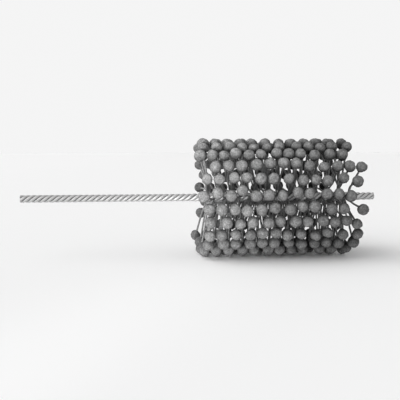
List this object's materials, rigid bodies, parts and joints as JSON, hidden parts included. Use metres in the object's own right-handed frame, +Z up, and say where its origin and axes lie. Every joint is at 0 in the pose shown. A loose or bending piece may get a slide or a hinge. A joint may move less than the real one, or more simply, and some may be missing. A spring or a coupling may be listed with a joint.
{
  "type": "flexible ball hone",
  "caption": "Flexible hone: a twisted wire stem with abrasive balls on springy nylon filaments, turned by a drill to finish the inside of a cylinder.",
  "frame": {"origin": "centre of the stem's end face at the drive end", "axes": "+X along the stem towards the tip, +Z up as it lies on its head"},
  "size_m": [0.343, 0.1147, 0.1147],
  "materials": {
    "stem_wire": "bright galvanised steel wire, drawn and twisted, with a soft sheen",
    "filament": "dark grey nylon monofilament",
    "abrasive": "matt dark grey bonded abrasive grain, rough and slightly lumpy"
  },
  "bodies": {
    "stem": {"stem_wire_1": "stem_wire", "stem_wire_2": "stem_wire", "stem_wire_3": "stem_wire", "stem_wire_4": "stem_wire", "filaments_01": "filament", "filaments_02": "filament", "filaments_03": "filament", "filaments_04": "filament", "filaments_05": "filament", "filaments_06": "filament", "filaments_07": "filament", "filaments_08": "filament", "filaments_09": "filament", "filaments_10": "filament", "filaments_11": "filament", "filaments_12": "filament"},
    "row_01": {"balls_row_01": "abrasive"},
    "row_02": {"balls_row_02": "abrasive"},
    "row_03": {"balls_row_03": "abrasive"},
    "row_04": {"balls_row_04": "abrasive"},
    "row_05": {"balls_row_05": "abrasive"},
    "row_06": {"balls_row_06": "abrasive"},
    "row_07": {"balls_row_07": "abrasive"},
    "row_08": {"balls_row_08": "abrasive"},
    "row_09": {"balls_row_09": "abrasive"},
    "row_10": {"balls_row_10": "abrasive"},
    "row_11": {"balls_row_11": "abrasive"},
    "row_12": {"balls_row_12": "abrasive"},
    "row_13": {"balls_row_13": "abrasive"},
    "row_14": {"balls_row_14": "abrasive"},
    "row_15": {"balls_row_15": "abrasive"},
    "row_16": {"balls_row_16": "abrasive"},
    "row_17": {"balls_row_17": "abrasive"},
    "row_18": {"balls_row_18": "abrasive"},
    "row_19": {"balls_row_19": "abrasive"},
    "row_20": {"balls_row_20": "abrasive"},
    "row_21": {"balls_row_21": "abrasive"},
    "row_22": {"balls_row_22": "abrasive"},
    "row_23": {"balls_row_23": "abrasive"},
    "row_24": {"balls_row_24": "abrasive"}
  },
  "joints": [
    {"name": "row_01_lean", "type": "slide", "parent": "stem", "child": "row_01", "axis": [-0.9584, -0.2829, -0.0372], "range_m": [0, 0.01787], "stiffness_N_per_m": 100, "springref_m": -0.02, "deforming": ["filaments_09"]},
    {"name": "row_02_lean", "type": "slide", "parent": "stem", "child": "row_02", "axis": [-0.9584, -0.2636, -0.1092], "range_m": [0, 0.01787], "stiffness_N_per_m": 100, "springref_m": -0.02, "deforming": ["filaments_08"]},
    {"name": "row_03_lean", "type": "slide", "parent": "stem", "child": "row_03", "axis": [-0.9584, -0.2264, -0.1737], "range_m": [0, 0.01787], "stiffness_N_per_m": 100, "springref_m": -0.02, "deforming": ["filaments_07"]},
    {"name": "row_04_lean", "type": "slide", "parent": "stem", "child": "row_04", "axis": [-0.9584, -0.1737, -0.2264], "range_m": [0, 0.01787], "stiffness_N_per_m": 100, "springref_m": -0.02, "deforming": ["filaments_06"]},
    {"name": "row_05_lean", "type": "slide", "parent": "stem", "child": "row_05", "axis": [-0.9584, -0.1092, -0.2636], "range_m": [0, 0.01787], "stiffness_N_per_m": 100, "springref_m": -0.02, "deforming": ["filaments_05"]},
    {"name": "row_06_lean", "type": "slide", "parent": "stem", "child": "row_06", "axis": [-0.9584, -0.0372, -0.2829], "range_m": [0, 0.01787], "stiffness_N_per_m": 100, "springref_m": -0.02, "deforming": ["filaments_04"]},
    {"name": "row_07_lean", "type": "slide", "parent": "stem", "child": "row_07", "axis": [-0.9584, 0.0372, -0.2829], "range_m": [0, 0.01787], "stiffness_N_per_m": 100, "springref_m": -0.02, "deforming": ["filaments_03"]},
    {"name": "row_08_lean", "type": "slide", "parent": "stem", "child": "row_08", "axis": [-0.9584, 0.1092, -0.2636], "range_m": [0, 0.01787], "stiffness_N_per_m": 100, "springref_m": -0.02, "deforming": ["filaments_02"]},
    {"name": "row_09_lean", "type": "slide", "parent": "stem", "child": "row_09", "axis": [-0.9584, 0.1737, -0.2264], "range_m": [0, 0.01787], "stiffness_N_per_m": 100, "springref_m": -0.02, "deforming": ["filaments_01"]},
    {"name": "row_10_lean", "type": "slide", "parent": "stem", "child": "row_10", "axis": [-0.9584, 0.2264, -0.1737], "range_m": [0, 0.01787], "stiffness_N_per_m": 100, "springref_m": -0.02, "deforming": ["filaments_12"]},
    {"name": "row_11_lean", "type": "slide", "parent": "stem", "child": "row_11", "axis": [-0.9584, 0.2636, -0.1092], "range_m": [0, 0.01787], "stiffness_N_per_m": 100, "springref_m": -0.02, "deforming": ["filaments_11"]},
    {"name": "row_12_lean", "type": "slide", "parent": "stem", "child": "row_12", "axis": [-0.9584, 0.2829, -0.0372], "range_m": [0, 0.01787], "stiffness_N_per_m": 100, "springref_m": -0.02, "deforming": ["filaments_10"]},
    {"name": "row_13_lean", "type": "slide", "parent": "stem", "child": "row_13", "axis": [-0.9584, 0.2829, 0.0372], "range_m": [0, 0.01787], "stiffness_N_per_m": 100, "springref_m": -0.02, "deforming": ["filaments_09"]},
    {"name": "row_14_lean", "type": "slide", "parent": "stem", "child": "row_14", "axis": [-0.9584, 0.2636, 0.1092], "range_m": [0, 0.01787], "stiffness_N_per_m": 100, "springref_m": -0.02, "deforming": ["filaments_08"]},
    {"name": "row_15_lean", "type": "slide", "parent": "stem", "child": "row_15", "axis": [-0.9584, 0.2264, 0.1737], "range_m": [0, 0.01787], "stiffness_N_per_m": 100, "springref_m": -0.02, "deforming": ["filaments_07"]},
    {"name": "row_16_lean", "type": "slide", "parent": "stem", "child": "row_16", "axis": [-0.9584, 0.1737, 0.2264], "range_m": [0, 0.01787], "stiffness_N_per_m": 100, "springref_m": -0.02, "deforming": ["filaments_06"]},
    {"name": "row_17_lean", "type": "slide", "parent": "stem", "child": "row_17", "axis": [-0.9584, 0.1092, 0.2636], "range_m": [0, 0.01787], "stiffness_N_per_m": 100, "springref_m": -0.02, "deforming": ["filaments_05"]},
    {"name": "row_18_lean", "type": "slide", "parent": "stem", "child": "row_18", "axis": [-0.9584, 0.0372, 0.2829], "range_m": [0, 0.01787], "stiffness_N_per_m": 100, "springref_m": -0.02, "deforming": ["filaments_04"]},
    {"name": "row_19_lean", "type": "slide", "parent": "stem", "child": "row_19", "axis": [-0.9584, -0.0372, 0.2829], "range_m": [0, 0.01787], "stiffness_N_per_m": 100, "springref_m": -0.02, "deforming": ["filaments_03"]},
    {"name": "row_20_lean", "type": "slide", "parent": "stem", "child": "row_20", "axis": [-0.9584, -0.1092, 0.2636], "range_m": [0, 0.01787], "stiffness_N_per_m": 100, "springref_m": -0.02, "deforming": ["filaments_02"]},
    {"name": "row_21_lean", "type": "slide", "parent": "stem", "child": "row_21", "axis": [-0.9584, -0.1737, 0.2264], "range_m": [0, 0.01787], "stiffness_N_per_m": 100, "springref_m": -0.02, "deforming": ["filaments_01"]},
    {"name": "row_22_lean", "type": "slide", "parent": "stem", "child": "row_22", "axis": [-0.9584, -0.2264, 0.1737], "range_m": [0, 0.01787], "stiffness_N_per_m": 100, "springref_m": -0.02, "deforming": ["filaments_12"]},
    {"name": "row_23_lean", "type": "slide", "parent": "stem", "child": "row_23", "axis": [-0.9584, -0.2636, 0.1092], "range_m": [0, 0.01787], "stiffness_N_per_m": 100, "springref_m": -0.02, "deforming": ["filaments_11"]},
    {"name": "row_24_lean", "type": "slide", "parent": "stem", "child": "row_24", "axis": [-0.9584, -0.2829, 0.0372], "range_m": [0, 0.01787], "stiffness_N_per_m": 100, "springref_m": -0.02, "deforming": ["filaments_10"]}
  ]
}
